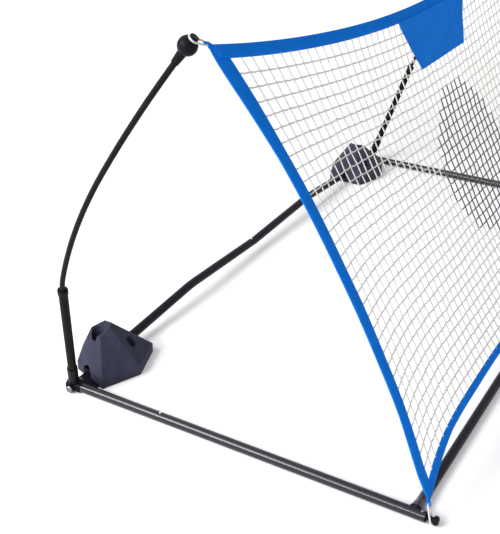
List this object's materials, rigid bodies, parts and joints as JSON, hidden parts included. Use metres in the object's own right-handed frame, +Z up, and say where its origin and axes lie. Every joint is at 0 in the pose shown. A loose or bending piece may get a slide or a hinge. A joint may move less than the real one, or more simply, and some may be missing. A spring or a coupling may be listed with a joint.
{
  "type": "golf chipping net",
  "caption": "Leaning rectangular golf chipping net with a round target, held by elastic cords between bowed poles and a knock-down tube base with corner blocks.",
  "frame": {"origin": "on the floor, at the middle of the whole object's footprint", "axes": "+X to the golfer's right along the net, +Y from the front cross tube back to the rear corners, +Z up"},
  "size_m": [2.1668, 1.0986, 1.022],
  "materials": {
    "base_tube": "glossy black powder coat on steel tube",
    "front_tube": "satin black powder coat on steel tube",
    "inner_steel": "bare drawn steel tube",
    "spring_steel": "polished spring steel",
    "zinc_steel": "zinc plated steel",
    "black_moulding": "moulded black plastic, fine grain",
    "block_moulding": "moulded blue-black plastic, fine grain",
    "pole_rod": "black coated glass-fibre rod",
    "blue_webbing": "woven blue polyester webbing",
    "banner_cloth": "plain blue woven cloth",
    "white_netting": "white knotless polyester netting",
    "black_netting": "black knotless polyester netting",
    "elastic_cord": "white braided elastic cord"
  },
  "bodies": {
    "root": {"left_side_tube_rear": "base_tube", "left_side_tube_front": "base_tube", "left_side_spigot": "inner_steel", "left_side_button_leaf": "spring_steel", "left_rear_cap": "black_moulding", "left_front_tee": "front_tube", "left_end_knob": "black_moulding", "left_knob_rivet": "zinc_steel", "left_corner_fitting": "black_moulding", "left_pole_sleeve": "front_tube", "left_sleeve_reducer": "black_moulding", "left_pole": "pole_rod", "left_pole_ball": "black_moulding", "left_tip_cap": "black_moulding", "left_corner_block": "block_moulding", "left_block_bracket": "black_moulding", "left_corner_bolt": "zinc_steel", "left_corner_nut": "zinc_steel", "left_lower_cord": "elastic_cord", "left_upper_cord": "elastic_cord", "front_cross_tube_left": "front_tube", "rear_cross_tube_left": "base_tube", "net_border_left": "blue_webbing", "right_side_tube_rear": "base_tube", "right_side_tube_front": "base_tube", "right_side_spigot": "inner_steel", "right_side_button_leaf": "spring_steel", "right_rear_cap": "black_moulding", "right_front_tee": "front_tube", "right_end_knob": "black_moulding", "right_knob_rivet": "zinc_steel", "right_corner_fitting": "black_moulding", "right_pole_sleeve": "front_tube", "right_sleeve_reducer": "black_moulding", "right_pole": "pole_rod", "right_pole_ball": "black_moulding", "right_tip_cap": "black_moulding", "right_corner_block": "block_moulding", "right_block_bracket": "black_moulding", "right_corner_bolt": "zinc_steel", "right_corner_nut": "zinc_steel", "right_lower_cord": "elastic_cord", "right_upper_cord": "elastic_cord", "front_cross_tube_right": "front_tube", "rear_cross_tube_right": "base_tube", "net_border_right": "blue_webbing", "front_cross_spigot": "inner_steel", "front_cross_button_leaf": "spring_steel", "rear_cross_spigot": "inner_steel", "rear_cross_button_leaf": "spring_steel", "net_border_top": "blue_webbing", "net_border_bottom": "blue_webbing", "net_mesh": "white_netting", "net_banner": "banner_cloth", "net_target": "black_netting"},
    "left_side_button_body": {"left_side_button": "spring_steel"},
    "right_side_button_body": {"right_side_button": "spring_steel"},
    "front_cross_button_body": {"front_cross_button": "spring_steel"},
    "rear_cross_button_body": {"rear_cross_button": "spring_steel"}
  },
  "joints": [
    {"name": "left_side_button_press", "type": "slide", "parent": "root", "child": "left_side_button_body", "axis": [0, 0, -1], "range_m": [0, 0.003], "stiffness_N_per_m": 500, "springref_m": -0.003, "deforming": ["left_side_button_leaf"]},
    {"name": "right_side_button_press", "type": "slide", "parent": "root", "child": "right_side_button_body", "axis": [0, 0, -1], "range_m": [0, 0.003], "stiffness_N_per_m": 500, "springref_m": -0.003, "deforming": ["right_side_button_leaf"]},
    {"name": "front_cross_button_press", "type": "slide", "parent": "root", "child": "front_cross_button_body", "axis": [0, 0, -1], "range_m": [0, 0.003], "stiffness_N_per_m": 500, "springref_m": -0.003, "deforming": ["front_cross_button_leaf"]},
    {"name": "rear_cross_button_press", "type": "slide", "parent": "root", "child": "rear_cross_button_body", "axis": [0, 0, -1], "range_m": [0, 0.003], "stiffness_N_per_m": 500, "springref_m": -0.003, "deforming": ["rear_cross_button_leaf"]}
  ]
}
